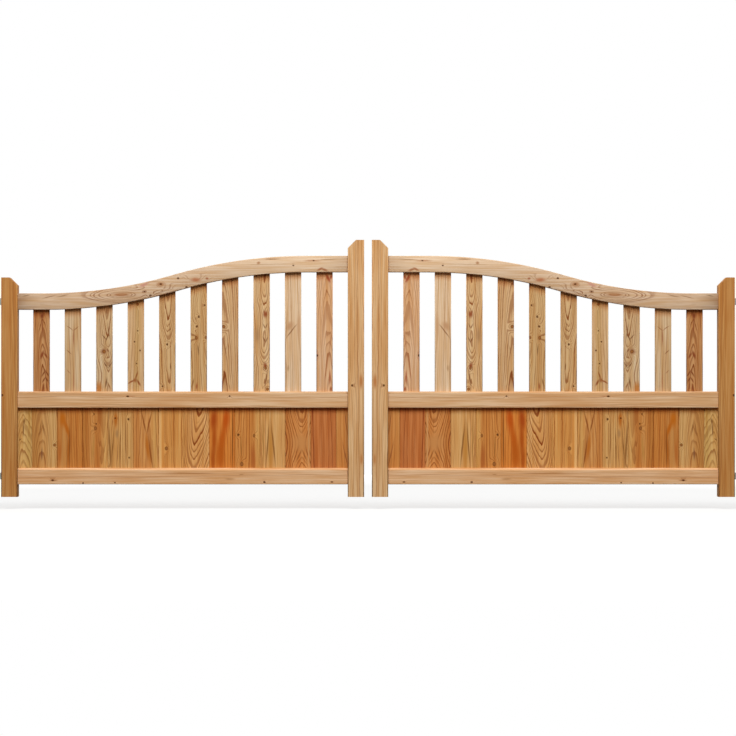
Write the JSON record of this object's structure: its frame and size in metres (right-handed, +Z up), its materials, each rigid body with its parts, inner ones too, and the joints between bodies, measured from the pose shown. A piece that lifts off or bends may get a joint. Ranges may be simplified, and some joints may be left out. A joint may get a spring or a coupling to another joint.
{
  "type": "double wooden gate",
  "caption": "Pair of swan-neck timber driveway gate leaves, open pales above tongue-and-groove boards, hung on square posts by hook and eye hinges.",
  "frame": {"origin": "middle of the left post's foot, at ground level", "axes": "+X along the closed gate from the left post to the right one, -Y towards the viewer in front, +Z up"},
  "size_m": [3.442, 0.125, 1.118],
  "materials": {
    "frame_timber": "satin",
    "pale_timber": "satin",
    "board_timber": "satin",
    "post_timber": "satin",
    "hinge_steel": "satin"
  },
  "bodies": {
    "posts": {"left_post": "post_timber", "right_post": "post_timber", "left_upper_hook": "hinge_steel", "left_lower_hook": "hinge_steel", "right_upper_hook": "hinge_steel", "right_lower_hook": "hinge_steel"},
    "left_leaf": {"left_hanging_stile": "frame_timber", "left_meeting_stile": "frame_timber", "left_top_rail": "frame_timber", "left_middle_rail": "frame_timber", "left_bottom_rail": "frame_timber", "left_pale_1": "pale_timber", "left_pale_2": "pale_timber", "left_pale_3": "pale_timber", "left_pale_4": "pale_timber", "left_pale_5": "pale_timber", "left_pale_6": "pale_timber", "left_pale_7": "pale_timber", "left_pale_8": "pale_timber", "left_pale_9": "pale_timber", "left_pale_10": "pale_timber", "left_boarding": "board_timber", "left_upper_eye": "hinge_steel", "left_lower_eye": "hinge_steel"},
    "right_leaf": {"right_hanging_stile": "frame_timber", "right_meeting_stile": "frame_timber", "right_top_rail": "frame_timber", "right_middle_rail": "frame_timber", "right_bottom_rail": "frame_timber", "right_pale_1": "pale_timber", "right_pale_2": "pale_timber", "right_pale_3": "pale_timber", "right_pale_4": "pale_timber", "right_pale_5": "pale_timber", "right_pale_6": "pale_timber", "right_pale_7": "pale_timber", "right_pale_8": "pale_timber", "right_pale_9": "pale_timber", "right_pale_10": "pale_timber", "right_boarding": "board_timber", "right_upper_eye": "hinge_steel", "right_lower_eye": "hinge_steel"}
  },
  "joints": [
    {"name": "left_leaf_swing", "type": "hinge", "parent": "posts", "child": "left_leaf", "pos_m": [0.1045, 0, 0.2], "axis": [0, 0, 1], "range_deg": [0, 90]},
    {"name": "right_leaf_swing", "type": "hinge", "parent": "posts", "child": "right_leaf", "pos_m": [3.2125, 0, 0.2], "axis": [0, 0, -1], "range_deg": [0, 90]}
  ]
}
